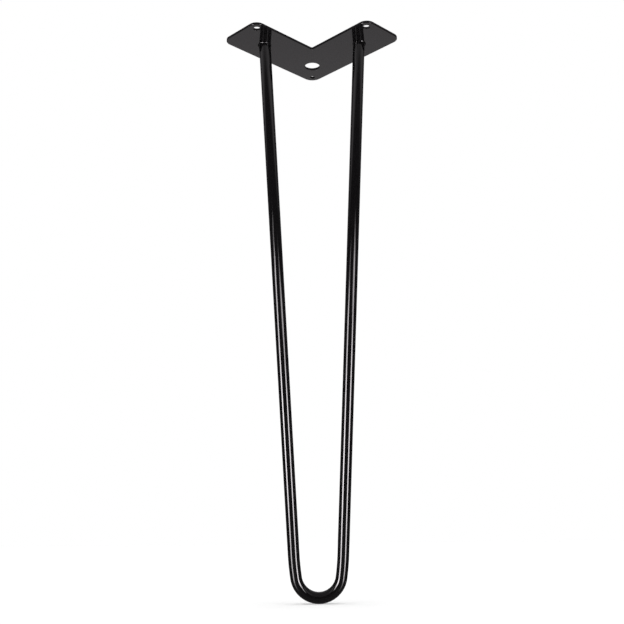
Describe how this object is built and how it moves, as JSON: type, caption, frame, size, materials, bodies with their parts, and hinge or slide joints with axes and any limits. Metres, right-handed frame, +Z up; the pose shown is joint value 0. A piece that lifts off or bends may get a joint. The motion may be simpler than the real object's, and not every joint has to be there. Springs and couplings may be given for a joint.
{
  "type": "hairpin table leg",
  "caption": "Raked hairpin table leg: a round bar bent into a narrow U, welded under an L-shaped plate that is screwed to the corner of a table top.",
  "frame": {"origin": "centre of the large hole on the plate's top face, where the arms' centre lines cross", "axes": "+Z up, out of the plate's top face; +Y out over the plate's outer corner, the way the leg leans; +X to the right, so the leg is symmetric left and right"},
  "size_m": [0.1736, 0.1669, 0.5599],
  "materials": {
    "black_coat": "gloss black powder coat on steel"
  },
  "bodies": {
    "root": {"mounting_plate": "black_coat", "hairpin_rod": "black_coat", "weld_beads": "black_coat"}
  },
  "joints": []
}
